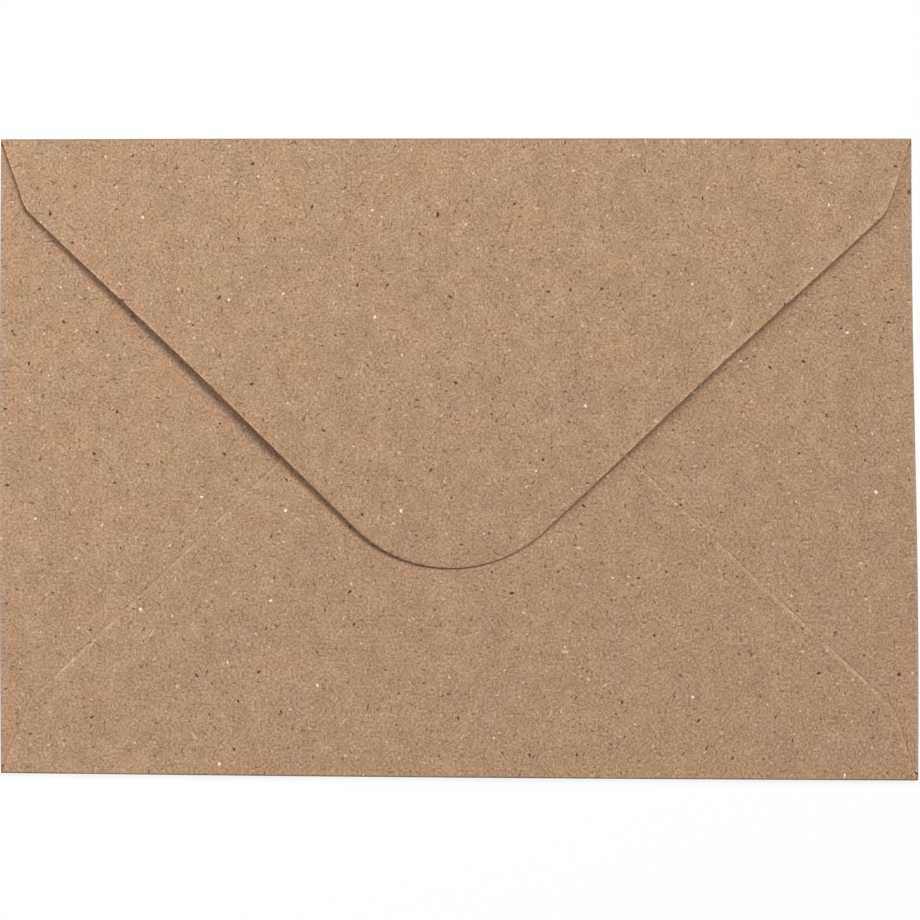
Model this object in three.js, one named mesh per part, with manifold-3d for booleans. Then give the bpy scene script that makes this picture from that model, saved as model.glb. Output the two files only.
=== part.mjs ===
// A kraft paper envelope with a pointed seal flap, lying on its address face with its
// back up and its flap closed. One cut sheet is folded round a flat pocket: the two side
// flaps turn in first, the bottom flap is glued over them, and the seal flap swings on
// the top fold. Lengths are in millimetres and angles in degrees, with +Z up, +Y towards
// the top fold and the origin under the middle of the address face.

import * as THREE from 'three';
import { mergeVertices } from 'three/addons/utils/BufferGeometryUtils.js';
import Module from 'manifold-3d';

const wasm = await Module();
wasm.setup();

const radians = THREE.MathUtils.degToRad;

// The folded envelope
const envelopeWidth = 162;
const envelopeHeight = 113;
const paper = 0.16;
const pocketGap = 1.0;

// Films of adhesive, and where they lie
const seamFilm = 0.05;
const seamInset = 1.5;
const seamWidth = 4.5;
const gumFilm = 0.03;
const gumInset = 3;
const gumWidth = 11;

// Clearances: the closed flap over the pocket, the two halves of the top fold at their
// score line, and neighbouring folds at a corner
const flapClearance = 0.3;
const scoreGap = 0.3;
const cornerGap = 0.3;

// The seal flap and the bottom flap, each from its fold to its tip. Their cut edges lean
// in by the taper down to the shoulders and run straight from there to the tip's arc.
const pointedInset = 0.2;
const pointedTaper = 19;
const pointedShoulderDrop = 12.8;
const pointedShoulderRadius = 5.5;
const sealFlapDepth = 76.2;
const sealTipRadius = 24;
const bottomFlapDepth = 76.2;
const bottomTipRadius = 24;

// The side flaps, whose tips stop short of each other
const sideInset = 1.3;
const sideTaper = 20;
const sideShoulderDrop = 6;
const sideShoulderRadius = 3;
const sideTipGap = 38;
const sideTipRadius = 20;

// How finely curves are cut
const arcStep = 3;
const foldSegments = 24;

// Levels, from the table up
const sideFlapLevel = paper + pocketGap;
const seamLevel = sideFlapLevel + paper;
const bottomFlapLevel = seamLevel + seamFilm;
const gumLevel = bottomFlapLevel + paper + flapClearance;
const sealFlapLevel = gumLevel + gumFilm;

// Outer radius of each fold: half of what it goes round, paper included
const sideFoldRadius = (sideFlapLevel + paper) / 2;
const bottomFoldRadius = (bottomFlapLevel + paper) / 2;
const topFoldRadius = (sealFlapLevel + paper) / 2;

const sealFlapForm = {
  halfWidth: envelopeWidth / 2 - pointedInset,
  taper: pointedTaper,
  shoulderDrop: pointedShoulderDrop,
  shoulderRadius: pointedShoulderRadius,
  depth: sealFlapDepth,
  tipRadius: sealTipRadius,
  foldRadius: topFoldRadius,
};
const bottomFlapForm = {
  ...sealFlapForm,
  depth: bottomFlapDepth,
  tipRadius: bottomTipRadius,
  foldRadius: bottomFoldRadius,
};
const sideFlapForm = {
  halfWidth: envelopeHeight / 2 - sideInset,
  taper: sideTaper,
  shoulderDrop: sideShoulderDrop,
  shoulderRadius: sideShoulderRadius,
  depth: (envelopeWidth - sideTipGap) / 2,
  tipRadius: sideTipRadius,
  foldRadius: sideFoldRadius,
};

const kraft = () => new THREE.MeshStandardMaterial({ color: 0xb39270, roughness: 0.9, metalness: 0 });
const seamGlue = () => new THREE.MeshStandardMaterial({ color: 0xd9cfba, roughness: 0.5, metalness: 0 });
const sealGum = () => new THREE.MeshStandardMaterial({ color: 0xc2a07a, roughness: 0.35, metalness: 0 });

// Half the width that a flap has where its fold ends and its flat panel begins.
function widthAtFold({ halfWidth, taper, foldRadius }) {
  return halfWidth - foldRadius * Math.tan(radians(taper));
}

// A flap's corners, anticlockwise, with the envelope's edge on y = 0 and the tip towards
// -y. The straight cut edge leaves the shoulder along the tangent to the tip's arc, and
// the corner at the tip is where the two tangents would meet.
function flapCorners(form) {
  const shoulderX = form.halfWidth - form.shoulderDrop * Math.tan(radians(form.taper));
  const centreDrop = form.depth - form.tipRadius - form.shoulderDrop;
  const centreDistance = Math.hypot(shoulderX, centreDrop);
  const slope = Math.atan2(centreDrop, shoulderX) + Math.asin(form.tipRadius / centreDistance);
  const tipDrop = form.shoulderDrop + shoulderX * Math.tan(slope);
  const foldX = widthAtFold(form);
  return [
    { at: new THREE.Vector2(-foldX, -form.foldRadius), radius: 0 },
    { at: new THREE.Vector2(-shoulderX, -form.shoulderDrop), radius: form.shoulderRadius },
    { at: new THREE.Vector2(0, -tipDrop), radius: form.tipRadius },
    { at: new THREE.Vector2(shoulderX, -form.shoulderDrop), radius: form.shoulderRadius },
    { at: new THREE.Vector2(foldX, -form.foldRadius), radius: 0 },
  ];
}

// The same corners with every edge moved in by a margin. A corner moves along the sum of
// its two edges' inward normals.
function inset(corners, margin) {
  const normals = corners.map(({ at }, i) => {
    const along = corners[(i + 1) % corners.length].at.clone().sub(at).normalize();
    return new THREE.Vector2(-along.y, along.x);
  });
  return corners.map(({ at, radius }, i) => {
    const before = normals.at(i - 1);
    const shift = before.clone().add(normals[i]).multiplyScalar(margin / (1 + before.dot(normals[i])));
    return { at: at.clone().add(shift), radius: Math.max(radius - margin, 0) };
  });
}

// Corners joined into one outline, each with its arc tangent to both of its edges.
function outline(corners) {
  return corners.flatMap(({ at, radius }, i) => {
    if (radius === 0) {
      return [at];
    }
    const toBefore = corners.at(i - 1).at.clone().sub(at).normalize();
    const toAfter = corners[(i + 1) % corners.length].at.clone().sub(at).normalize();
    const halfAngle = Math.acos(toBefore.dot(toAfter)) / 2;
    const sweep = Math.PI - 2 * halfAngle;
    const middle = toBefore.clone().add(toAfter).normalize();
    const centre = at.clone().addScaledVector(middle, radius / Math.sin(halfAngle));
    const steps = Math.ceil(sweep / radians(arcStep));
    const facing = middle.clone().negate().angle();
    return Array.from({ length: steps + 1 }, (_, step) => {
      const angle = facing + sweep * (step / steps - 0.5);
      return centre.clone().add(new THREE.Vector2(Math.cos(angle), Math.sin(angle)).multiplyScalar(radius));
    });
  });
}

// A flat sheet with an outline, from z = 0 up.
function sheet(points, thickness) {
  return new THREE.ExtrudeGeometry(new THREE.Shape(points), { depth: thickness, bevelEnabled: false });
}

function rectangle(left, right, bottom, top) {
  return [[left, bottom], [right, bottom], [right, top], [left, top]].map(([x, y]) => new THREE.Vector2(x, y));
}

// Paper bent round a fold, with the envelope's edge on y = 0 and the table on z = 0. The
// angles count from -90 where the paper lies on the table to 90 where it lies on top.
function foldStrip(radius, length, fromAngle, toAngle) {
  const section = new THREE.Shape();
  section.absarc(0, 0, radius, radians(fromAngle), radians(toAngle), false);
  section.absarc(0, 0, radius - paper, radians(toAngle), radians(fromAngle), true);
  const options = { depth: length, bevelEnabled: false, curveSegments: foldSegments };
  const strip = new THREE.ExtrudeGeometry(section, options);
  const outwards = new THREE.Vector3(0, 1, 0);
  const up = new THREE.Vector3(0, 0, 1);
  const along = new THREE.Vector3(1, 0, 0);
  strip.translate(0, 0, -length / 2);
  strip.applyMatrix4(new THREE.Matrix4().makeBasis(outwards, up, along));
  strip.translate(0, -radius, radius);
  return strip;
}

function toManifold(geometry) {
  const bare = geometry.clone();
  bare.deleteAttribute('normal');
  bare.deleteAttribute('uv');
  const merged = mergeVertices(bare);
  const vertProperties = new Float32Array(merged.attributes.position.array);
  const triVerts = new Uint32Array(merged.index.array);
  return new wasm.Manifold(new wasm.Mesh({ numProp: 3, vertProperties, triVerts }));
}

function fromManifold(solid) {
  const { vertProperties, triVerts } = solid.getMesh();
  const geometry = new THREE.BufferGeometry();
  geometry.setAttribute('position', new THREE.BufferAttribute(vertProperties, 3));
  geometry.setIndex(new THREE.BufferAttribute(triVerts, 1));
  geometry.computeVertexNormals();
  return geometry;
}

function piece(name, geometry, material, level = 0) {
  const mesh = new THREE.Mesh(geometry, material);
  mesh.name = name;
  mesh.position.z = level;
  return mesh;
}

// A group at the middle of one of the envelope's edges, whose +Y points outwards.
function edgeGroup(x, y, turn) {
  const group = new THREE.Group();
  group.position.set(x, y, 0);
  group.rotation.z = radians(turn);
  group.updateMatrix();
  return group;
}

const topEdge = edgeGroup(0, envelopeHeight / 2, 0);
const bottomEdge = edgeGroup(0, -envelopeHeight / 2, 180);
const leftEdge = edgeGroup(-envelopeWidth / 2, 0, 90);
const rightEdge = edgeGroup(envelopeWidth / 2, 0, -90);

function frontPanel() {
  const halfWidth = envelopeWidth / 2 - sideFoldRadius;
  const bottom = bottomFoldRadius - envelopeHeight / 2;
  const top = envelopeHeight / 2 - topFoldRadius;
  return piece('front_panel', sheet(rectangle(-halfWidth, halfWidth, bottom, top), paper), kraft());
}

// One side of the pocket: the fold that runs between the top and bottom folds, and the
// flap that it turns in over the front panel.
function addSide(edge, name) {
  const length = envelopeHeight - topFoldRadius - bottomFoldRadius - 2 * cornerGap;
  const fold = piece(`${name}_fold`, foldStrip(sideFoldRadius, length, -90, 90), kraft());
  const towardsTop = (bottomFoldRadius - topFoldRadius) / 2;
  fold.position.x = edge === leftEdge ? towardsTop : -towardsTop;
  const flap = sheet(outline(flapCorners(sideFlapForm)), paper);
  edge.add(fold, piece(`${name}_side_flap`, flap, kraft(), sideFlapLevel));
}

function addBottom() {
  const length = 2 * widthAtFold(bottomFlapForm);
  const flap = sheet(outline(flapCorners(bottomFlapForm)), paper);
  bottomEdge.add(
    piece('bottom_fold', foldStrip(bottomFoldRadius, length, -90, 90), kraft()),
    piece('bottom_flap', flap, kraft(), bottomFlapLevel),
  );
}

// The glue along one cut edge of the bottom flap, only where a side flap lies under it.
// The strip follows the edge from the shoulder to the tip, and is then cut to both flaps.
function seam(name, sideEdge) {
  const outer = inset(flapCorners(bottomFlapForm), seamInset);
  const inner = inset(flapCorners(bottomFlapForm), seamInset + seamWidth);
  const [shoulder, tip] = sideEdge === leftEdge ? [3, 2] : [1, 2];
  const strip = [outer[shoulder].at, outer[tip].at, inner[tip].at, inner[shoulder].at];
  const cutter = (corners, edge) => {
    const block = sheet(outline(corners), 3 * seamFilm);
    return toManifold(block.translate(0, 0, -seamFilm).applyMatrix4(edge.matrix));
  };
  const solid = toManifold(sheet(strip, seamFilm).applyMatrix4(bottomEdge.matrix))
    .intersect(cutter(outer, bottomEdge))
    .intersect(cutter(inset(flapCorners(sideFlapForm), seamInset), sideEdge));
  return piece(name, fromManifold(solid), seamGlue(), seamLevel);
}

// The top fold is parted at its score line: the lower half stays with the pocket, and the
// upper half turns with the seal flap.
const scoreAngle = THREE.MathUtils.radToDeg(scoreGap / 2 / topFoldRadius);
const topFoldLength = 2 * widthAtFold(sealFlapForm);

function topFold() {
  return piece('top_fold', foldStrip(topFoldRadius, topFoldLength, -90, -scoreAngle), kraft());
}

function addSealFlap() {
  const flap = sheet(outline(flapCorners(sealFlapForm)), paper);
  topEdge.add(
    piece('seal_flap_fold', foldStrip(topFoldRadius, topFoldLength, scoreAngle, 90), kraft()),
    piece('seal_flap', flap, kraft(), sealFlapLevel),
    piece('seal_gum', sheet(gumBand(), gumFilm), sealGum(), gumLevel),
  );
}

// The gum is a V on the flap's inner face that follows its cut edges from one shoulder
// round the tip to the other.
function gumBand() {
  const shoulderToShoulder = (corners) => corners.slice(1, 4).map(({ at, radius }, i) => ({
    at,
    radius: i === 1 ? radius : 0,
  }));
  const outer = outline(shoulderToShoulder(inset(flapCorners(sealFlapForm), gumInset)));
  const inner = outline(shoulderToShoulder(inset(flapCorners(sealFlapForm), gumInset + gumWidth)));
  return [...outer, ...inner.reverse()];
}

addSide(leftEdge, 'left');
addSide(rightEdge, 'right');
addBottom();
topEdge.add(topFold());
addSealFlap();

const envelope = new THREE.Group();
envelope.add(frontPanel(), leftEdge, rightEdge, bottomEdge, topEdge);
envelope.add(seam('left_seam_glue', leftEdge), seam('right_seam_glue', rightEdge));

export default envelope;
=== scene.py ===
"""A closed kraft paper envelope, seen from its back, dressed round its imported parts.

Lengths are in millimetres until a mesh is made. Every piece of paper is a grid worked out on
the flat blank that the envelope is folded from, and is then bent into its place:

- depth is how far a point lies in from the envelope's edge that its flap is folded on,
- along is how far it lies to the side of that edge's middle,
- margin is how far it lies in from the flap's own cut edge,
- blank is its place on the unfolded sheet, which is what the paper's pattern follows.

The layers lie on each other from the table up: front panel, side flaps, bottom flap, seal
flap. The creases stand a little off the table, as they do on an envelope that holds air.
"""

import math
from dataclasses import dataclass

import bmesh
import bpy
import numpy as np
from mathutils import Euler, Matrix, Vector


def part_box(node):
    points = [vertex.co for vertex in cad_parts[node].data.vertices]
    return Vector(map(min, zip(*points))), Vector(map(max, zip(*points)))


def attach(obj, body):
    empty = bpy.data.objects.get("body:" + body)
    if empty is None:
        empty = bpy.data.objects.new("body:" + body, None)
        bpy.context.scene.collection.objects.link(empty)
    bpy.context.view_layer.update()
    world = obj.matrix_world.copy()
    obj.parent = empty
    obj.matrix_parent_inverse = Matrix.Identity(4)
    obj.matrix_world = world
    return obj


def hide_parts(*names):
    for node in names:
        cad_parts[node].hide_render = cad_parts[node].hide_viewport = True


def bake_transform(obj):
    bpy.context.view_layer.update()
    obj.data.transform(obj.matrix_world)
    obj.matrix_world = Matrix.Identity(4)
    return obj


MM = 0.001

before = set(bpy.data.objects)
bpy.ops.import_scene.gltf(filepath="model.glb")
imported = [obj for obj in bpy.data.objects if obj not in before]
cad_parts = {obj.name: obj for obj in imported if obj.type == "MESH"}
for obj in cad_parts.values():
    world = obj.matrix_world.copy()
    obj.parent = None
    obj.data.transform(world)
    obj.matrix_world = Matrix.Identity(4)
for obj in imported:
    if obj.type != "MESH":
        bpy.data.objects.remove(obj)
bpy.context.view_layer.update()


def box_mm(node):
    """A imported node's lowest and highest corner, in millimetres."""
    low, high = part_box(node)
    return np.array(low) / MM, np.array(high) / MM


def ease(t):
    """0 up to t = 0, 1 from t = 1 on, and a smooth step between."""
    t = np.clip(t, 0, 1)
    return t * t * (3 - 2 * t)


def fading(distance, reach):
    """1 up to no distance, 0 from the reach on, and a straight line between."""
    return np.clip(1 - distance / reach, 0, 1)


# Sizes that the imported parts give
HALF_WIDTH = box_mm("right_fold")[1][0]
HALF_HEIGHT = box_mm("top_fold")[1][1]
PAPER = np.ptp(box_mm("front_panel"), axis=0)[2]
SIDE_FOLD_DEPTH = np.ptp(box_mm("right_fold"), axis=0)[0]
BOTTOM_FOLD_DEPTH = np.ptp(box_mm("bottom_fold"), axis=0)[1]
TOP_FOLD_DEPTH = np.ptp(box_mm("top_fold"), axis=0)[1]
CREASE_HEIGHT = box_mm("bottom_fold")[1][2] / 2
HINGE_HEIGHT = box_mm("seal_flap")[1][2] / 2
SEAL_FLAP_TOP = box_mm("seal_flap")[1][2]
SEAL_FLAP_DEPTH = HALF_HEIGHT - box_mm("seal_flap")[0][1]
BOTTOM_FLAP_DEPTH = HALF_HEIGHT + box_mm("bottom_flap")[1][1]
SIDE_FLAP_DEPTH = HALF_WIDTH - box_mm("right_side_flap")[0][0]

# The outer radius of each crease, round the layers that it wraps
SIDE_CREASE = 0.22
BOTTOM_CREASE = 0.34
TOP_CREASE = 0.42

# How the layers lie: the films between them, how high the side flaps are held over the
# table in the middle, and how far in from the creases the front panel comes down to it
SEAM_FILM = 0.05
GUM_FILM = 0.03
SIDE_FLAP_HEIGHT = 0.41
SIDE_SETTLE = 32.0
END_SETTLE = 28.0

# What makes the envelope a folded one and not a drawn one: how far out of square it is, and
# how far its four creases wander
SKEW = -0.01086
LEFT_BULGE = 0.25
RIGHT_BULGE = 0.12
RIGHT_SWAY = -0.2
TOP_BULGE = 0.1
BOTTOM_BULGE = 0.16
BULGE_REACH = 18.0


@dataclass
class Swell:
    """A low round hump in the seal flap, at an x and a depth. Its side is steepest at its
    reach from there."""

    x: float
    depth: float
    height: float
    reach: float


# The bow of the seal flap: it climbs from its crease, swells, most of all on the left, where
# it stands open, and its tip comes down again, lower on the right by the share that it rolls
# over in a millimetre
CLIMB_DEPTH = 24.0
LEFT_SWELL = Swell(x=-36.0, depth=53.0, height=0.3, reach=18.0)
RIGHT_SWELL = Swell(x=46.0, depth=42.0, height=0.05, reach=14.0)
DROOP_START = 42.0
TIP_DROOP = 0.6
TIP_ROLL = 0.028
ROLL_LIMITS = (0.5, 1.4)


@dataclass
class FlapForm:
    """A flap's outline and how it strays from its true place.

    Its cut edges lean in by the taper, in degrees, down to the shoulders, and run from
    there to the round tip, hollowed a little. It has slipped to the right by an amount that
    runs from slip_at_fold to slip_at_tip, and reaches deeper on its right by the tilt. Both
    fade out above the shoulders, because the fold has stayed in its place."""

    half_width: float
    taper: float
    shoulder_drop: float
    shoulder_radius: float
    depth: float
    tip_radius: float
    fold_depth: float
    hollow: float = 0.0
    slip_at_fold: float = 0.0
    slip_at_tip: float = 0.0
    tilt: float = 0.0

    def __post_init__(self):
        """The outward normals of the tapered and the diagonal edge, and the arcs' centres.
        The diagonal is the tangent from the shoulder to the tip's arc."""
        taper = math.radians(self.taper)
        across = self.half_width - self.shoulder_drop * math.tan(taper)
        down = self.depth - self.tip_radius - self.shoulder_drop
        tangent = math.asin(self.tip_radius / math.hypot(across, down))
        self.slope = math.atan2(down, across) + tangent
        self.tapered = np.array([math.cos(taper), math.sin(taper)])
        self.diagonal = np.array([math.sin(self.slope), math.cos(self.slope)])
        normals = np.stack([self.tapered, self.diagonal])
        reach = normals @ (across, self.shoulder_drop) - self.shoulder_radius
        self.shoulder_centre = np.linalg.solve(normals, reach)
        self.tip_centre = np.array([0.0, self.depth - self.tip_radius])

    def strayed(self, x, depth):
        """How far the flap's points have slipped to the right, and how much deeper they are
        than true."""
        grown = ease(depth / self.shoulder_drop)
        slipped = self.slip_at_fold + (self.slip_at_tip - self.slip_at_fold) * depth / self.depth
        return grown * slipped, grown * self.tilt * x / self.half_width


# How far in from the envelope's corners each flap's ends are cut, and how much deeper than
# true the two pointed flaps are
SEAL_FLAP_INSET = 0.12
BOTTOM_FLAP_INSET = 0.2
SIDE_FLAP_INSET = 1.3
SEAL_OVERCUT = 0.08
BOTTOM_OVERCUT = 0.35

# One die cuts both pointed flaps
POINTED = {"taper": 19, "shoulder_drop": 12.8, "shoulder_radius": 5.5, "tip_radius": 24}

SEAL_FLAP = FlapForm(
    **POINTED,
    half_width=HALF_WIDTH - SEAL_FLAP_INSET,
    depth=SEAL_FLAP_DEPTH + SEAL_OVERCUT,
    fold_depth=TOP_FOLD_DEPTH,
    hollow=0.3,
    slip_at_fold=0.08,
    slip_at_tip=-0.9,
    tilt=0.37,
)
BOTTOM_FLAP = FlapForm(
    **POINTED,
    half_width=HALF_WIDTH - BOTTOM_FLAP_INSET,
    depth=BOTTOM_FLAP_DEPTH + BOTTOM_OVERCUT,
    fold_depth=BOTTOM_FOLD_DEPTH,
    hollow=0.12,
    slip_at_fold=0.48,
    slip_at_tip=0.1,
)
SIDE_FLAP = FlapForm(
    half_width=HALF_HEIGHT - SIDE_FLAP_INSET,
    taper=20,
    shoulder_drop=6,
    shoulder_radius=3,
    depth=SIDE_FLAP_DEPTH,
    tip_radius=20,
    fold_depth=SIDE_FOLD_DEPTH,
)


@dataclass
class Edge:
    """One of the envelope's four edges, by its middle and the turn in degrees that points
    its own y axis outwards. crease is the outer radius of its crease, and meets gives the
    depths of the folds at its two ends, first of the one where along is negative."""

    middle: tuple
    turn: float
    half_length: float
    crease: float
    meets: tuple

    def at(self, along, depth):
        """The point that lies depth in from the edge: the local (along, -depth), turned
        and moved to the edge. A negative depth is on the blank beyond the crease."""
        cosine = math.cos(math.radians(self.turn))
        sine = math.sin(math.radians(self.turn))
        return (
            self.middle[0] + cosine * along + sine * depth,
            self.middle[1] + sine * along - cosine * depth,
        )


SIDE_FOLDS = (SIDE_FOLD_DEPTH, SIDE_FOLD_DEPTH)
BOTTOM_THEN_TOP = (BOTTOM_FOLD_DEPTH, TOP_FOLD_DEPTH)
TOP_THEN_BOTTOM = (TOP_FOLD_DEPTH, BOTTOM_FOLD_DEPTH)
TOP = Edge((0, HALF_HEIGHT), 0, HALF_WIDTH, TOP_CREASE, SIDE_FOLDS)
BOTTOM = Edge((0, -HALF_HEIGHT), 180, HALF_WIDTH, BOTTOM_CREASE, SIDE_FOLDS)
LEFT = Edge((-HALF_WIDTH, 0), 90, HALF_HEIGHT, SIDE_CREASE, BOTTOM_THEN_TOP)
RIGHT = Edge((HALF_WIDTH, 0), -90, HALF_HEIGHT, SIDE_CREASE, TOP_THEN_BOTTOM)


# The heights of the layers


def rim_height(y):
    """The height of the front panel's outer face at the creases. It grows evenly from the
    bottom crease to the top crease, which wraps more layers."""
    low = CREASE_HEIGHT - BOTTOM_CREASE
    high = HINGE_HEIGHT - TOP_CREASE
    return low + (high - low) * (y + HALF_HEIGHT) / (2 * HALF_HEIGHT)


def rim_share(x, y):
    """1 at the creases and 0 in the middle. Each edge's share is the square of what is left
    of its settling distance, and the two shares join as 1 - (1 - a)(1 - b)."""
    end_crease = np.where(y < 0, BOTTOM_CREASE, TOP_CREASE)
    side = fading(HALF_WIDTH - np.abs(x) - SIDE_CREASE, SIDE_SETTLE) ** 2
    end = fading(HALF_HEIGHT - np.abs(y) - end_crease, END_SETTLE) ** 2
    return 1 - (1 - side) * (1 - end)


def front_level(x, y):
    """The front panel's outer face, which is on the table in the middle."""
    return rim_height(y) * rim_share(x, y)


def side_level(x, y):
    """The side flaps' inner face: held up in the middle, and at the creases as far over
    the front panel as the crease is round."""
    rim = rim_height(y) + 2 * SIDE_CREASE - PAPER
    return SIDE_FLAP_HEIGHT + (rim - SIDE_FLAP_HEIGHT) * rim_share(x, y)


def bottom_level(x, y):
    """The bottom flap's inner face: on the side flaps, with the glue's film between, and a
    little higher where it comes round its crease."""
    at_crease = CREASE_HEIGHT + BOTTOM_CREASE - PAPER
    lying = side_level(x, -HALF_HEIGHT) + PAPER + SEAM_FILM
    share = fading(y + HALF_HEIGHT - BOTTOM_CREASE, END_SETTLE) ** 2
    return side_level(x, y) + PAPER + SEAM_FILM + (at_crease - lying) * share


def seal_level(x, y):
    """The seal flap's inner face: a parabola that climbs from the crease and is level after
    the climb, with the swells on it, each a bell curve, less a cubic that starts where the
    tip begins to droop, and which grows to the right."""
    depth = HALF_HEIGHT - y
    at_crease = HINGE_HEIGHT + TOP_CREASE - PAPER
    level = SEAL_FLAP_TOP - PAPER - LEFT_SWELL.height
    climb = np.clip((depth - TOP_CREASE) / CLIMB_DEPTH, 0, 1)
    height = at_crease + (level - at_crease) * (1 - (1 - climb) ** 2)
    for swell in (LEFT_SWELL, RIGHT_SWELL):
        away = (x - swell.x) ** 2 + (depth - swell.depth) ** 2
        height = height + swell.height * np.exp(-away / (2 * swell.reach**2))
    droop = np.clip((depth - DROOP_START) / (SEAL_FLAP_DEPTH - DROOP_START), 0, None)
    rolled = np.clip(1 + TIP_ROLL * x, *ROLL_LIMITS)
    return height - TIP_DROOP * rolled * droop**3


# Small irregularities in the plane of the sheet


def side_bulge(x, y):
    """How far the side creases stray to the right: half a wave on the left, and half a wave
    and a whole one on the right, fading inwards from the crease."""
    down = np.pi * (HALF_HEIGHT - y) / (2 * HALF_HEIGHT)
    left = -LEFT_BULGE * np.sin(down)
    right = RIGHT_BULGE * np.sin(down) + RIGHT_SWAY * np.sin(2 * down)
    reach = np.exp(-(((HALF_WIDTH - np.abs(x)) / BULGE_REACH) ** 2))
    return np.where(x < 0, left, right) * reach


def end_bulge(x, y):
    """How far up the top and bottom creases stray: half a wave outwards, fading inwards."""
    across = np.cos(np.pi * x / (2 * HALF_WIDTH))
    reach = np.exp(-(((HALF_HEIGHT - np.abs(y)) / BULGE_REACH) ** 2))
    return np.where(y < 0, -BOTTOM_BULGE, TOP_BULGE) * across * reach


def laid(x, y, z, bulges=False, strays=None):
    """Points in metres: the sheet's points, sheared by the skew, with the top and bottom
    creases' bulges. bulges adds those of the side creases, and strays is the pointed flap
    whose slip and tilt are added."""
    shift = SKEW * y
    y = y + end_bulge(x, y)
    if bulges:
        shift = shift + side_bulge(x, y)
    if strays is not None:
        inwards = -1 if strays is SEAL_FLAP else 1
        slipped, deeper = strays.strayed(x, HALF_HEIGHT + inwards * y)
        shift = shift + slipped
        y = y + inwards * deeper
    return np.stack(np.broadcast_arrays(x + shift, y, z), axis=-1) * MM


# Outlines of the flaps

# How many points half a cut edge has on each of its stretches
TAPER_POINTS = 12
SHOULDER_POINTS = 14
DIAGONAL_POINTS = 60
TIP_POINTS = 30


def straight(start, end, count):
    """count points from start towards end, without end."""
    share = np.linspace(0, 1, count, endpoint=False)[:, None]
    return np.array(start) + (np.array(end) - np.array(start)) * share


def arc(centre, radius, start, end, count, closed=False):
    """count points on a circle, from one angle to another, in radians."""
    angle = np.linspace(start, end, count, endpoint=closed)
    return np.array(centre) + radius * np.stack([np.cos(angle), np.sin(angle)], axis=-1)


def cut_edge(form, margin):
    """Points (along, depth) on a flap's cut edge, moved in by margin, from one end of its
    fold round the tip to the other. Both arcs keep their centres, and lose the margin from
    their radii. The diagonal is hollowed by the square of half a sine wave."""
    taper = math.radians(form.taper)
    turned = math.pi / 2 - form.slope
    corner_x = form.half_width - margin / math.cos(taper) - form.fold_depth * math.tan(taper)
    shoulder_radius = form.shoulder_radius - margin
    tip_radius = form.tip_radius - margin
    round_shoulder = arc(form.shoulder_centre, shoulder_radius, taper, turned, SHOULDER_POINTS)
    round_tip = arc(form.tip_centre, tip_radius, turned, math.pi / 2, TIP_POINTS, closed=True)
    diagonal_start = form.shoulder_centre + form.diagonal * shoulder_radius
    diagonal = straight(diagonal_start, round_tip[0], DIAGONAL_POINTS)
    share = np.linspace(0, 1, DIAGONAL_POINTS, endpoint=False)[:, None]
    half = np.concatenate([
        straight((corner_x, form.fold_depth), round_shoulder[0], TAPER_POINTS),
        round_shoulder,
        diagonal - form.diagonal * form.hollow * np.sin(np.pi * share) ** 2,
        round_tip,
    ])
    return np.concatenate([half * (-1, 1), half[-2::-1]])


def outside(form, along, depth):
    """How far points lie outside a flap's cut edge, negative inside: the distance from the
    edge that they are beside, straight or round."""
    place = np.stack(np.broadcast_arrays(np.abs(along), depth), axis=-1)
    from_shoulder = place - form.shoulder_centre
    from_tip = place - form.tip_centre
    down_taper = from_shoulder @ (-form.tapered[1], form.tapered[0])
    down_diagonal = from_shoulder @ (-form.diagonal[1], form.diagonal[0])
    past_diagonal_end = from_tip @ (-form.diagonal[1], form.diagonal[0])
    share = np.clip(down_diagonal / (down_diagonal - past_diagonal_end), 0, 1)
    hollow = form.hollow * np.sin(np.pi * share) ** 2
    return np.select(
        [past_diagonal_end > 0, down_diagonal > 0, down_taper > 0],
        [
            np.linalg.norm(from_tip, axis=-1) - form.tip_radius,
            from_shoulder @ form.diagonal - form.shoulder_radius + hollow,
            np.linalg.norm(from_shoulder, axis=-1) - form.shoulder_radius,
        ],
        from_shoulder @ form.tapered - form.shoulder_radius,
    )


# Meshes

# A distance at which nothing has left its mark, how far the inner face is moved on the blank,
# the distance within which points are joined, and the angle in degrees of a sharp edge
FAR = 9.0
INNER_SHIFT = 400.0
WELD = 0.0002
SHARP_ANGLE = 50


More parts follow.
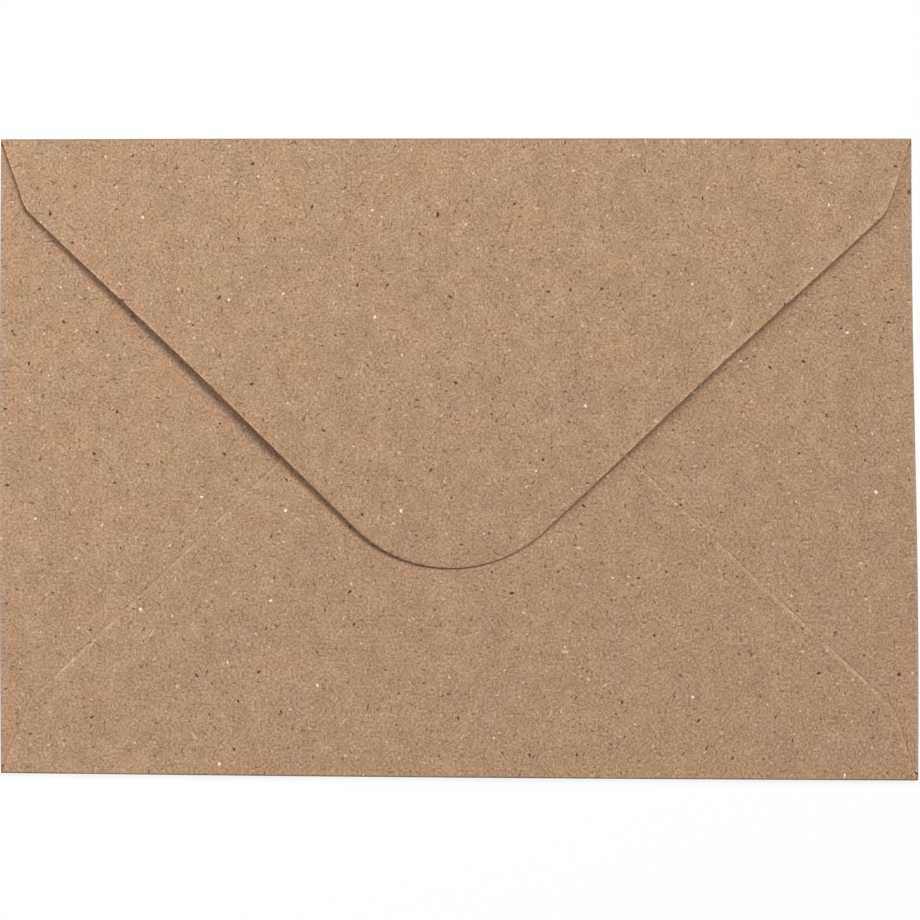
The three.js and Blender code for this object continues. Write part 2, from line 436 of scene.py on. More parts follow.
def sheet_piece(name, outer, inner, blank, slot="kraft_paper", **distances):
    """A closed piece of sheet between two grids of points, its outer and inner face. The
    rim joins the grids' borders. UV map 'blank' holds each face's place on the unfolded
    sheet in millimetres. The inner face is moved away so that its pattern differs, and the
    rim's inner corners by the paper's thickness so that the pattern isn't stretched there.

    distances are how far its points are, in millimetres, from the lines that its colour follows: the
    cut edge (margin), along which a painted highlight lightens it, and on the outer face only, a flap's
    edge that lies on it or the seal flap's tip (seam), along which painted shade darkens it, the
    outermost line of a crease (ridge), and the top crease's outermost line (score), along which painted
    shade darkens it."""
    rows, columns = outer.shape[:2]
    count = rows * columns
    index = np.arange(count).reshape(rows, columns)
    corners = [index[:-1, :-1], index[1:, :-1], index[1:, 1:], index[:-1, 1:]]
    grid = np.stack(corners, -1).reshape(-1, 4)
    border = np.concatenate([index[0, :-1], index[:-1, -1], index[-1, :0:-1], index[:0:-1, 0]])
    after = np.roll(border, -1)
    rim = np.stack([border, after, after + count, border + count], -1)
    faces = np.concatenate([grid, grid[:, ::-1] + count, rim])

    mesh = bpy.data.meshes.new(name)
    points = np.concatenate([outer.reshape(-1, 3), inner.reshape(-1, 3)])
    mesh.from_pydata(points.tolist(), [], faces.tolist())

    place = np.tile(np.broadcast_to(blank, (rows, columns, 2)).reshape(-1, 2), (2, 1))
    uv = place[faces]
    uv[len(grid) : 2 * len(grid)] += INNER_SHIFT
    uv[2 * len(grid) :, 2:] += PAPER
    mesh.uv_layers.new(name="blank").data.foreach_set("uv", uv.astype(np.float32).ravel())
    for attribute in ("margin", "seam", "ridge", "score"):
        on_outer = np.broadcast_to(distances.get(attribute, FAR), (rows, columns)).ravel()
        on_inner = on_outer if attribute == "margin" else np.full(count, FAR)
        layer = mesh.attributes.new(attribute, "FLOAT", "POINT")
        layer.data.foreach_set("value", np.concatenate([on_outer, on_inner]).astype(np.float32))

    welded = bmesh.new()
    welded.from_mesh(mesh)
    bmesh.ops.remove_doubles(welded, verts=welded.verts, dist=WELD * MM)
    bmesh.ops.recalc_face_normals(welded, faces=welded.faces)
    welded.to_mesh(mesh)
    welded.free()
    mesh.shade_smooth()
    mesh.set_sharp_from_angle(angle=math.radians(SHARP_ANGLE))

    piece = bpy.data.objects.new(name, mesh)
    bpy.context.scene.collection.objects.link(piece)
    return piece


# A flap's grid: the margins of the rings along its cut edge, closest where the edge is worn,
# and the rows from its fold to the first ring
EDGE_RINGS = (2.2, 1.8, 1.5, 1.25, 1.0, 0.8, 0.65, 0.5, 0.38, 0.28, 0.2, 0.12, 0.06, 0.02, 0.0)
FLAP_ROWS = 48


def flap_grid(form):
    """A flap's points (along, depth) and margins. Rows run from the fold to the first ring,
    in columns of one along each, and then ring by ring out to the cut edge."""
    first = cut_edge(form, EDGE_RINGS[0])
    share = np.linspace(0, 1, FLAP_ROWS, endpoint=False)[:, None]
    along = np.broadcast_to(first[:, 0], (FLAP_ROWS, len(first)))
    depth = form.fold_depth + (first[:, 1] - form.fold_depth) * share
    rings = np.stack([cut_edge(form, margin) for margin in EDGE_RINGS])
    along = np.concatenate([along, rings[..., 0]])
    depth = np.concatenate([depth, rings[..., 1]])
    return along, depth, -outside(form, along, depth)


def flap(name, form, edge, level, edge_rise, seam=None, burnish=None, **laying):
    """A flap over the pocket. edge_rise gives, from the margin and the place, how far its outer and
    inner faces are lifted near the cut edge. seam gives each point's distance from the line along which
    painted shade darkens it, and burnish how much wider than usual its painted highlight along the cut
    edge is."""
    along, depth, margin = flap_grid(form)
    x, y = edge.at(along, depth)
    height = level(x, y)
    outer_rise, inner_rise = edge_rise(np.maximum(margin, 0), along, depth)
    outer = laid(x, y, height + PAPER + outer_rise, **laying)
    inner = laid(x, y, height + inner_rise, **laying)
    blank = np.stack(edge.at(along, -depth), axis=-1)
    marked = FAR if seam is None else seam(x, y)
    if burnish is not None:
        margin = margin / burnish(along, depth)
    return sheet_piece(name, outer, inner, blank, margin=margin, seam=marked)


# The seal flap's die-cut edge: how far and over what width it is bent, the length below the
# fold over which the bend grows, and the depth and the length of its turn downwards
BURR_RISE = 0.05
BURR_WIDTH = 0.35
BURR_GROWTH = 4.0
HANDLED_DEPTH = 50.0
HANDLED_LENGTH = 15.0

# How far the corners of the cut paper are worn off, and over what width
SEAL_FLAP_WEAR = 0.035
SIDE_FLAP_WEAR = 0.03
BOTTOM_FLAP_WEAR = 0.01
WEAR_WIDTH = 0.05


def burred(margin, along, depth):
    """The seal flap's die-cut edge: below the fold the sheet lifts a little in its last
    third of a millimetre, or bends down round the handled tip, and its corners are worn
    round."""
    bent = ease((depth - TOP_FOLD_DEPTH) / BURR_GROWTH)
    bent = bent * (1 - 2 * ease((depth - HANDLED_DEPTH) / HANDLED_LENGTH))
    lift = BURR_RISE * bent * fading(margin, BURR_WIDTH) ** 2
    worn = SEAL_FLAP_WEAR * fading(margin, WEAR_WIDTH) ** 2
    return lift - worn, lift + worn


# The bottom flap's edge, pressed down on its glue: how far its outer face slopes down, over
# what width and by what power, and the swelling behind it: its height, margin and width
PRESSED_DROP = 0.14
PRESSED_WIDTH = 0.7
PRESSED_POWER = 1.3
SWELLING = 0.055
SWELLING_MARGIN = 0.95
SWELLING_WIDTH = 0.45

# How the swelling changes along the edge. It waves by a share, as the product of two sines of
# these radians in a millimetre. Further in than a depth only a share is left, which it comes
# down to over a length. From its share in the middle it changes by so much, up to the right
# and down to the left, over a distance
GLUE_WAVE = 0.35
GLUE_WAVE_TURNS = (0.71, 0.23)
SWELLING_DEPTH = 39.0
SWELLING_FADE = 7.0
SHARE_FURTHER_IN = 0.2
SHARE_IN_MIDDLE = 0.85
SHARE_CHANGE = 0.4
SIDES_REACH = 20.0


def pressed(margin, along, depth):
    """The bottom flap's edge, pressed down on its glue: its outer face slopes to the side
    flap in the last 0.7 mm, and swells unevenly behind that, where the glue was squeezed
    back, most of all below the middle and on the right, where along is negative."""
    slope = PRESSED_DROP * fading(margin, PRESSED_WIDTH) ** PRESSED_POWER
    first_turns, second_turns = GLUE_WAVE_TURNS
    uneven = 1 + GLUE_WAVE * np.sin(first_turns * along) * np.sin(second_turns * along + 1)
    outwards = ease((SWELLING_DEPTH - depth) / SWELLING_FADE)
    below = SHARE_FURTHER_IN + (1 - SHARE_FURTHER_IN) * outwards
    to_the_right = SHARE_IN_MIDDLE - SHARE_CHANGE * np.clip(along / SIDES_REACH, -1, 1)
    profile = np.exp(-(((margin - SWELLING_MARGIN) / SWELLING_WIDTH) ** 2))
    swelling = SWELLING * (uneven * below * to_the_right) * profile
    return swelling - slope, BOTTOM_FLAP_WEAR * fading(margin, WEAR_WIDTH)


def plain_cut(margin, along, depth):
    """A side flap's edge: only its corners are worn round."""
    worn = SIDE_FLAP_WEAR * fading(margin, WEAR_WIDTH) ** 2
    return -worn, worn


# A crease's strip of paper: its rows on each level run and round the crease, its columns,
# and the gap that it leaves at the mitre of a corner
RUN_ROWS = 4
ROUND_ROWS = 25
FOLD_COLUMNS = 140
MITRE_GAP = 0.01


def strip_reach(edge, form, other_depth, sine, depth):
    """How far a crease's strip reaches from its middle: below the crease to the mitre with
    the fold that it meets, above it to the flap's taper, and in between over the middle
    half of the crease's height."""
    mitre = edge.half_length - other_depth * depth / form.fold_depth - MITRE_GAP
    tapered = form.half_width - depth * math.tan(math.radians(form.taper))
    return mitre + (tapered - mitre) * ease(sine + 0.5)


def fold(name, edge, form, upper_level, **laying):
    """The strip of paper round a crease, from the front panel to the flap of this form.

    Its outer face runs level to the crease's circle, round it, and back over itself. sine
    is how far round the crease each row is, from -1 below it to 1 above."""
    crease = edge.crease
    run = np.linspace(form.fold_depth, crease, RUN_ROWS, endpoint=False)
    angle = np.linspace(-np.pi / 2, np.pi / 2, ROUND_ROWS)
    outer_depth = np.concatenate([run, crease - crease * np.cos(angle), run[::-1]])
    inner_depth = np.concatenate([run, crease - (crease - PAPER) * np.cos(angle), run[::-1]])
    sine = np.concatenate([-np.ones(RUN_ROWS), np.sin(angle), np.ones(RUN_ROWS)])
    blank_depth = np.linspace(form.fold_depth, -form.fold_depth, len(sine))

    start, end = (strip_reach(edge, form, other, sine, outer_depth) for other in edge.meets)
    share = np.linspace(0, 1, FOLD_COLUMNS)
    along = -start[:, None] + (end + start)[:, None] * share
    faces = []
    for depths, half_gap in ((outer_depth, crease), (inner_depth, crease - PAPER)):
        x, y = edge.at(along, depths[:, None])
        x_run, y_run = edge.at(along, np.maximum(depths, crease)[:, None])
        below = front_level(x_run, y_run) + (crease - half_gap)
        above = upper_level(x_run, y_run) + PAPER - (crease - half_gap)
        height = (above + below) / 2 + (above - below) / 2 * sine[:, None]
        faces.append(laid(x, y, height, **laying))
    blank = np.stack(edge.at(along, blank_depth[:, None]), axis=-1)
    ridge = outer_depth[:, None]
    # The top crease's outermost line, along which painted shade darkens it
    score = ridge if edge is TOP else FAR
    return sheet_piece(name, *faces, blank, ridge=ridge, score=score)


FRONT_COLUMNS = 110
FRONT_ROWS = 80


def front_panel():
    """The address side: a plain grid between the four creases."""
    bottom = BOTTOM_FOLD_DEPTH - HALF_HEIGHT
    top = HALF_HEIGHT - TOP_FOLD_DEPTH
    x = np.linspace(-1, 1, FRONT_COLUMNS) * (HALF_WIDTH - SIDE_FOLD_DEPTH)
    y = np.linspace(bottom, top, FRONT_ROWS)[:, None]
    x, y = np.broadcast_arrays(x, y)
    height = front_level(x, y)
    outer = laid(x, y, height, bulges=True)
    inner = laid(x, y, height + PAPER, bulges=True)
    return sheet_piece("front_panel_paper", outer, inner, np.stack([x, y], axis=-1))


def from_seam(x, y):
    """How far a point lies outside the bottom flap's cut edge."""
    depth = HALF_HEIGHT + y
    return outside(BOTTOM_FLAP, x - BOTTOM_FLAP.strayed(x, depth)[0], depth)


# Where painted shade darkens the seal flap round its tip, where its edge curls down: the depth from
# which it is shaded, how many millimetres above that count as one, and what one in from the cut edge
# counts as
TIP_SHADE_DEPTH = 62.0
TIP_SHADE_FADE = 10.0
TIP_SHADE_SHARE = 0.5

# How the seal flap's painted highlight along its cut edge widens by its right shoulder, where the edge
# catches the light: how much wider than elsewhere, how far to the right it is whole, the depth where it
# begins, and over what length it grows
HIGHLIGHT_WIDER = 1.5
HIGHLIGHT_ALONG = 30.0
HIGHLIGHT_DEPTH = 45.0
HIGHLIGHT_LENGTH = 20.0


def from_shaded_tip(x, y):
    """How far a point of the seal flap is from its painted shade: from its cut edge round the tip, and
    further above the tip."""
    depth = HALF_HEIGHT - y
    above_tip = np.clip(TIP_SHADE_DEPTH - depth, 0, None) / TIP_SHADE_FADE
    return above_tip - TIP_SHADE_SHARE * outside(SEAL_FLAP, x, depth)


def widened_shoulder_highlight(along, depth):
    """How much wider than elsewhere the seal flap's painted highlight along its cut edge is: up to two
    and a half times by its right shoulder."""
    to_the_right = ease(along / HIGHLIGHT_ALONG)
    return 1 + HIGHLIGHT_WIDER * to_the_right * ease((HIGHLIGHT_DEPTH - depth) / HIGHLIGHT_LENGTH)


# A hair, with which the first point of a diagonal counts as one of it
START_TOLERANCE = 0.01


def between_insets(form, margins, rows, from_along=0.0, side=0):
    """Points (along, depth) in rows between two insets of a flap's cut edge, from where its
    diagonal begins, and each row's share of the way. A side of -1 or 1 keeps those that lie
    beyond from_along on it."""
    outer_line, inner_line = (cut_edge(form, margin) for margin in margins)
    shoulder_radius = form.shoulder_radius - margins[0]
    diagonal_start = form.shoulder_centre + form.diagonal * shoulder_radius
    below_shoulder = outer_line[:, 1] > diagonal_start[1] - START_TOLERANCE
    kept = below_shoulder & (side * outer_line[:, 0] >= from_along)
    share = np.linspace(0, 1, rows)[:, None, None]
    return outer_line[kept] + (inner_line[kept] - outer_line[kept]) * share, share[..., 0]


# The gum's band: its margins from the cut edge, its rows, how thin its borders are, the part
# of its width, one in so many, over which it thickens, and its borders' two waves, each by
# its height, its radians in a millimetre and where it starts
GUM_MARGINS = (3.0, 14.0)
GUM_ROWS = 14
GUM_BORDER = 0.004
GUM_SLOPES = 6
GUM_WAVES = ((0.2, 0.9, 0), (0.15, 2.3, 1))

# The seam glue's strips: their margins, their rows, and how far they stop short of the end of
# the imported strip
GLUE_MARGINS = (1.5, 6.0)
GLUE_ROWS = 6
GLUE_STOP = 2.0


def gum_band():
    """The gum under the seal flap's cut edges: a film between two of the flap's insets,
    from one shoulder round the tip to the other, thinner along its wavering borders."""
    place, share = between_insets(SEAL_FLAP, GUM_MARGINS, GUM_ROWS)
    along, depth = place[..., 0], place[..., 1]
    waver = sum(height * np.sin(along * turns + start) for height, turns, start in GUM_WAVES)
    depth = depth + waver * (1 - 2 * share)
    x, y = TOP.at(along, depth)
    thickened = ease(GUM_SLOPES * np.minimum(share, 1 - share))
    film = GUM_BORDER + GUM_FILM * thickened * np.ones_like(along)
    height = seal_level(x, y)
    upper = laid(x, y, height, strays=SEAL_FLAP)
    lower = laid(x, y, height - film, strays=SEAL_FLAP)
    blank = np.stack(TOP.at(along, -depth), axis=-1)
    return sheet_piece("seal_gum_film", upper, lower, blank, slot="seal_gum")


def seam_glue(name, node, side):
    """The glue under one cut edge of the bottom flap, from its shoulder to near where the
    side flap under it ends. side is -1 on the left and 1 on the right."""
    inner_end = np.abs([corner[0] for corner in box_mm(node)]).min() + GLUE_STOP
    place, _ = between_insets(BOTTOM_FLAP, GLUE_MARGINS, GLUE_ROWS, inner_end, -side)
    x, y = BOTTOM.at(place[..., 0], place[..., 1])
    upper = laid(x, y, bottom_level(x, y), strays=BOTTOM_FLAP)
    lower = laid(x, y, side_level(x, y) + PAPER, strays=BOTTOM_FLAP)
    return sheet_piece(name, upper, lower, np.stack([x, y], axis=-1), slot="seam_glue")


def side_flap(name, edge):
    """A side flap, with painted shade along the bottom flap's edge that lies on it."""
    return flap(name, SIDE_FLAP, edge, side_level, plain_cut, seam=from_seam, bulges=True)


def bottom_flap():
    """The bottom flap, glued over both side flaps."""
    return flap("bottom_flap_paper", BOTTOM_FLAP, BOTTOM, bottom_level, pressed, strays=BOTTOM_FLAP)


def seal_flap():
    """The seal flap, with painted shade round its tip and a wider painted highlight along its cut edge
    by its right shoulder.
    """
    return flap(
        "seal_flap_paper",
        SEAL_FLAP,
        TOP,
        seal_level,
        burred,
        seam=from_shaded_tip,
        burnish=widened_shoulder_highlight,
        strays=SEAL_FLAP,
    )


pocket_pieces = {
    "front_panel": front_panel(),
    "left_fold": fold("left_fold_paper", LEFT, SIDE_FLAP, side_level, bulges=True),
    "right_fold": fold("right_fold_paper", RIGHT, SIDE_FLAP, side_level, bulges=True),
    "bottom_fold": fold("bottom_fold_paper", BOTTOM, BOTTOM_FLAP, bottom_level),
    "left_side_flap": side_flap("left_side_flap_paper", LEFT),
    "right_side_flap": side_flap("right_side_flap_paper", RIGHT),
    "bottom_flap": bottom_flap(),
    "left_seam_glue": seam_glue("left_seam_glue_film", "left_seam_glue", -1),
    "right_seam_glue": seam_glue("right_seam_glue_film", "right_seam_glue", 1),
}
flap_pieces = {
    "seal_flap": seal_flap(),
    "seal_gum": gum_band(),
}
top_fold = fold("top_fold_paper", TOP, SEAL_FLAP, seal_level)


# Materials


def colour(code):
    """An sRGB hex colour as the linear red, green, blue and alpha that Blender takes."""
    srgb = np.array([int(code[i : i + 2], 16) for i in (1, 3, 5)]) / 255
    linear = np.where(srgb <= 0.04045, srgb / 12.92, ((srgb + 0.055) / 1.055) ** 2.4)
    return (*linear, 1.0)


def add(tree, kind, inputs=None, **settings):
    """Adds a node to a tree. settings are its properties, and inputs gives each of its
    sockets, by name or number, a value or the output that is linked to it. The colours of
    a Mix node are its inputs 6 and 7 and its output 2."""
    made = tree.nodes.new(kind)
    for name, value in settings.items():
        setattr(made, name, value)
    for key, value in (inputs or {}).items():
        if isinstance(value, bpy.types.NodeSocket):
            tree.links.new(value, made.inputs[key])
        else:
            made.inputs[key].default_value = value
    return made


def new_material(name):
    """An empty material and its node tree."""
    material = bpy.data.materials.new(name)
    material.use_nodes = True
    material.node_tree.nodes.clear()
    return material, material.node_tree


@dataclass
class Fibre:
    """One size of fibre or fleck in the sheet: millimetres between them, their length and
    width, the share of places that has one, a seed, and how strongly they show: how much
    lighter than the sheet they are, or darker below 0, or where they have a paint, its
    share."""

    spacing: float
    length: float
    width: float
    share: float
    seed: float
    strength: float
    paint: str = ""


# The mat of pulp: short fibres and longer ones, darker and lighter than the sheet
PULP_FIBRES = (
    Fibre(0.75, 0.8, 0.17, 0.7, 3.0, -0.16),
    Fibre(0.85, 0.8, 0.17, 0.7, 17.0, 0.14),
    Fibre(1.6, 1.4, 0.17, 0.6, 31.0, -0.2),
    Fibre(2.1, 1.5, 0.16, 0.5, 47.0, 0.15),
)

# What is scattered in it: brown specks and threads, two sizes of bark, straw, pale bits and
# threads, and flecks of white paper
FLECKS = (
    Fibre(2.6, 0.85, 0.42, 0.6, 61.0, 0.55, "#5c3f27"),
    Fibre(3.8, 1.9, 0.22, 0.5, 71.0, 0.65, "#5c3f27"),
    Fibre(3.7, 0.9, 0.42, 0.6, 83.0, 0.67, "#3f2a19"),
    Fibre(7.6, 1.0, 0.54, 0.52, 97.0, 0.88, "#2b1c11"),
    Fibre(2.9, 0.8, 0.36, 0.5, 101.0, 0.63, "#e2c6a3"),
    Fibre(6.0, 0.68, 0.42, 0.5, 113.0, 0.8, "#ecd7bb"),
    Fibre(17.0, 2.2, 0.22, 0.5, 127.0, 0.8, "#e6cba6"),
    Fibre(16.0, 0.8, 0.56, 0.6, 163.0, 0.95, "#f8eee1"),
)

# How far a seed moves the pattern up for each millimetre to the right, the smallest fibre and
# how much larger the others are, as parts of their kind's size, and the part of a fibre, out
# from its middle, that shows fully
SEED_SLANT = 1.7
SMALLEST = 0.5
SIZE_RANGE = 0.7
WHOLE_PART = 0.35


def fibres(tree, place, kind):
    """A mask of scattered fibres. Voronoi cells give each fibre a centre and three random
    numbers: its turn, its size, and whether it is there at all. The mask is 1 along its
    middle and falls to 0 on an ellipse of its length and width."""
    seed = (kind.seed, kind.seed * SEED_SLANT, 0)
    moved = add(tree, "ShaderNodeVectorMath", {0: place, 1: seed}, operation="ADD")
    cells = add(tree, "ShaderNodeTexVoronoi", {"Vector": moved.outputs[0], "Scale": 1 / kind.spacing},
                voronoi_dimensions="2D")
    chance = add(tree, "ShaderNodeSeparateColor", {"Color": cells.outputs["Color"]})
    across = add(tree, "ShaderNodeVectorMath", {0: moved.outputs[0], 1: cells.outputs["Position"]},
                 operation="SUBTRACT")
    angle = add(tree, "ShaderNodeMath", {0: chance.outputs["Red"], 1: math.pi}, operation="MULTIPLY")
    turned = add(tree, "ShaderNodeVectorRotate",
                 {"Vector": across.outputs[0], "Angle": angle.outputs[0]},
                 rotation_type="Z_AXIS")
    size = add(tree, "ShaderNodeMath", {0: chance.outputs["Green"], 1: SIZE_RANGE, 2: SMALLEST},
               operation="MULTIPLY_ADD")
    halves = (2 / kind.length, 2 / kind.width, 0)
    scaled = add(tree, "ShaderNodeVectorMath", {0: turned.outputs[0], 1: halves}, operation="MULTIPLY")
    radius = add(tree, "ShaderNodeVectorMath", {0: scaled.outputs[0]}, operation="LENGTH")
    relative = add(tree, "ShaderNodeMath", {0: radius.outputs["Value"], 1: size.outputs[0]},
                   operation="DIVIDE")
    there = add(tree, "ShaderNodeMath", {0: chance.outputs["Blue"], 1: kind.share},
                operation="LESS_THAN")
    falloff = {
        "Value": relative.outputs[0],
        "From Min": 1.0,
        "From Max": WHOLE_PART,
        "To Min": 0.0,
        "To Max": there.outputs[0],
    }
    mask = add(tree, "ShaderNodeMapRange", falloff, interpolation_type="SMOOTHSTEP")
    return mask.outputs[0]


# The size in millimetres of each pattern in the sheet: the curl that bends the fibres, the
# mottle of the pulp, its clouds, and the broad stains of the recycled stock. Then how far
# the curl moves the fibres, and how strongly the mottle and the clouds show
CURL_SIZE = 5 / 4
MOTTLE_SIZE = 5 / 12
CLOUD_SIZE = 20 / 7
STAIN_SIZE = 25 / 3
CURL_REACH = 0.4
MOTTLE_CONTRAST = 0.95
CLOUD_CONTRAST = 0.2

# The sheet's colour from its darkest pulp to its palest, and how the broad stains' three
# channels tint it, from one end to the other: yellow to blue, dark to light, pink to green
DARK_PULP = colour("#6b4b2f")
MIDDLE_PULP = colour("#b28f6f")
PALE_PULP = colour("#e4c29e")
STAIN_TINTS = (
    ("Red", (1.018, 1.0, 0.918, 1), (0.982, 1.0, 1.082, 1)),
    ("Green", (0.9, 0.9, 0.9, 1), (1.1, 1.1, 1.1, 1)),
    ("Blue", (1.028, 0.985, 1.01, 1), (0.972, 1.015, 0.99, 1)),
)


def pulp(tree, place):
    """The colour of recycled kraft, air-dried on a felt: a mat of short pulp fibres, darker
    and lighter than the sheet, with bark specks and flecks of white paper in it. Also its
    tone, which its relief follows, and how cloudy it is when it is held to the light."""
    curl = add(tree, "ShaderNodeTexNoise", {"Vector": place, "Scale": 1 / CURL_SIZE, "Detail": 1.0},
               noise_dimensions="2D")
    curled = add(tree, "ShaderNodeVectorMath", {0: curl.outputs["Color"], 1: (0.5, 0.5, 0.5)},
                 operation="SUBTRACT")
    curl_reach = (CURL_REACH, CURL_REACH, 0.0)
    bent = add(tree, "ShaderNodeVectorMath", {0: curled.outputs[0], 1: curl_reach, 2: place},
               operation="MULTIPLY_ADD").outputs[0]

    mottle = add(tree, "ShaderNodeTexNoise",
                 {"Vector": bent, "Scale": 1 / MOTTLE_SIZE, "Detail": 2.0, "Roughness": 0.65},
                 noise_dimensions="2D").outputs["Fac"]
    cloud = add(tree, "ShaderNodeTexNoise",
                {"Vector": place, "Scale": 1 / CLOUD_SIZE, "Detail": 2.0, "Roughness": 0.5},
                noise_dimensions="2D").outputs["Fac"]
    tone = add(tree, "ShaderNodeMath", {0: mottle, 1: -0.5}, operation="ADD").outputs[0]
    tone = add(tree, "ShaderNodeMath", {0: tone, 1: MOTTLE_CONTRAST}, operation="MULTIPLY").outputs[0]
    cloudy = add(tree, "ShaderNodeMath", {0: cloud, 1: -0.5}, operation="ADD").outputs[0]
    tone = add(tree, "ShaderNodeMath", {0: cloudy, 1: CLOUD_CONTRAST, 2: tone},
               operation="MULTIPLY_ADD").outputs[0]
    for kind in PULP_FIBRES:
        mask = fibres(tree, bent, kind)
        tone = add(tree, "ShaderNodeMath", {0: mask, 1: kind.strength, 2: tone},
                   operation="MULTIPLY_ADD").outputs[0]

    shade = add(tree, "ShaderNodeMath", {0: tone, 1: 0.5}, operation="ADD", use_clamp=True)
    sheet = add(tree, "ShaderNodeValToRGB", {"Fac": shade.outputs[0]})
    ramp = sheet.color_ramp
    ramp.elements[0].color = DARK_PULP
    ramp.elements[1].color = PALE_PULP
    ramp.elements.new(0.5).color = MIDDLE_PULP
    stains = add(tree, "ShaderNodeTexNoise", {"Vector": place, "Scale": 1 / STAIN_SIZE, "Detail": 3.0},
                 noise_dimensions="2D")
    channels = add(tree, "ShaderNodeSeparateColor", {"Color": stains.outputs["Color"]})
    result = sheet.outputs["Color"]
    for channel, one_end, other_end in STAIN_TINTS:
        tint = add(tree, "ShaderNodeMix", {0: channels.outputs[channel], 6: one_end, 7: other_end},
                   data_type="RGBA").outputs[2]
        result = add(tree, "ShaderNodeVectorMath", {0: result, 1: tint},
                     operation="MULTIPLY").outputs[0]

    for kind in FLECKS:
        mask = fibres(tree, bent, kind)
        share = add(tree, "ShaderNodeMath", {0: mask, 1: kind.strength}, operation="MULTIPLY")
        result = add(tree, "ShaderNodeMix", {0: share.outputs[0], 6: result, 7: colour(kind.paint)},
                     data_type="RGBA").outputs[2]
    return result, tone, cloud


# How much painted shade darkens the paper along a flap's edge that lies on it and round the seal flap's
# tip, how much a painted highlight lightens it along its cut edges, how much of its light the painted
# shade along the top crease's outermost line keeps, and how far each of them reaches from its line
EDGE_SHADE = -0.13
EDGE_SHADE_REACH = 0.45
EDGE_HIGHLIGHT = 0.11
EDGE_HIGHLIGHT_REACH = 0.6
CREASE_SHADE_LEVEL = 0.45
CREASE_SHADE_REACH = 0.55

# The grey of a rubbed crease, its share there, how far it reaches, and how deep the paper's
# relief is
RUBBED_GREY = colour("#a29d94")
RIDGE_GREY = 0.3
RIDGE_REACH = 1.0
KRAFT_RELIEF = 0.05


def kraft_paper():
    """Uncoated kraft: matt, rubbed grey on its creases, with painted shade along the top crease's
    outermost line, painted shade along a flap's edge that lies on it and round the seal flap's tip, and
    a painted highlight along its cut edges, these last two more so in some clouds of the pulp than in
    others."""
    material, tree = new_material("uncoated recycled kraft paper")
    place = add(tree, "ShaderNodeUVMap", uv_map="blank").outputs[0]
    result, tone, cloud = pulp(tree, place)

    from_clouds = {"Value": cloud, "From Min": 0.35, "From Max": 0.65, "To Min": 0.4, "To Max": 1.6}
    patchy = add(tree, "ShaderNodeMapRange", from_clouds).outputs[0]
    edge_shade, burnished = (
        add(tree, "ShaderNodeMath", {0: patchy, 1: change, 2: 1.0}, operation="MULTIPLY_ADD").outputs[0]
        for change in (EDGE_SHADE, EDGE_HIGHLIGHT)
    )
    # Painted shade along a flap's edge and round the seal flap's tip, a painted highlight along the cut
    # edges, and painted shade along the top crease's outermost line
    for attribute, reach, level in (
        ("seam", EDGE_SHADE_REACH, edge_shade),
        ("margin", EDGE_HIGHLIGHT_REACH, burnished),
        ("score", CREASE_SHADE_REACH, CREASE_SHADE_LEVEL),
    ):
        distance = add(tree, "ShaderNodeAttribute", attribute_name=attribute).outputs["Fac"]
        from_line = {"Value": distance, "From Max": reach, "To Min": level, "To Max": 1.0}
        mark = add(tree, "ShaderNodeMapRange", from_line, interpolation_type="SMOOTHSTEP")
        result = add(tree, "ShaderNodeVectorMath", {0: result, 1: mark.outputs[0]},
                     operation="MULTIPLY").outputs[0]

    ridge = add(tree, "ShaderNodeAttribute", attribute_name="ridge").outputs["Fac"]
    from_ridge = {"Value": ridge, "From Max": RIDGE_REACH, "To Min": RIDGE_GREY, "To Max": 0.0}
    rubbed = add(tree, "ShaderNodeMapRange", from_ridge, interpolation_type="SMOOTHSTEP")
    result = add(tree, "ShaderNodeMix", {0: rubbed.outputs[0], 6: result, 7: RUBBED_GREY},
                 data_type="RGBA").outputs[2]

    bump = add(tree, "ShaderNodeBump", {"Strength": 1.0, "Distance": KRAFT_RELIEF * MM, "Height": tone})
    shader = add(tree, "ShaderNodeBsdfPrincipled",
                 {"Base Color": result, "Normal": bump.outputs[0], "Roughness": 0.85,
                  "Specular IOR Level": 0.2})
    add(tree, "ShaderNodeOutputMaterial", {"Surface": shader.outputs[0]})
    return material


# How much of its red, green and blue the gummed paper keeps, the film's own amber, how much of
# it there is, and how deep the film's relief is
WETTED = (0.86, 0.79, 0.66)
AMBER = colour("#a47e50")
GUM_COVER = 0.4
GUM_RELIEF = 0.015


def dried_gum():
    """Dextrin gum, roller-coated and dried: a thin amber film with a satin gloss, which the
    paper's pulp shows through."""
    material, tree = new_material("dried dextrin gum")
    place = add(tree, "ShaderNodeUVMap", uv_map="blank").outputs[0]
    below, tone, cloud = pulp(tree, place)
    wetted = add(tree, "ShaderNodeVectorMath", {0: below, 1: WETTED}, operation="MULTIPLY").outputs[0]
    tint = add(tree, "ShaderNodeMix", {0: GUM_COVER, 6: wetted, 7: AMBER},
               data_type="RGBA").outputs[2]
    bump = add(tree, "ShaderNodeBump", {"Strength": 1.0, "Distance": GUM_RELIEF * MM, "Height": tone})
    gloss = add(tree, "ShaderNodeMapRange", {"Value": cloud, "To Min": 0.28, "To Max": 0.44}).outputs[0]
    shader = add(tree, "ShaderNodeBsdfPrincipled",
                 {"Base Color": tint, "Normal": bump.outputs[0], "Roughness": gloss, "IOR": 1.47})
    add(tree, "ShaderNodeOutputMaterial", {"Surface": shader.outputs[0]})
    return material


# The width in millimetres of the seam glue's streaks
STREAK_SIZE = 2 / 3


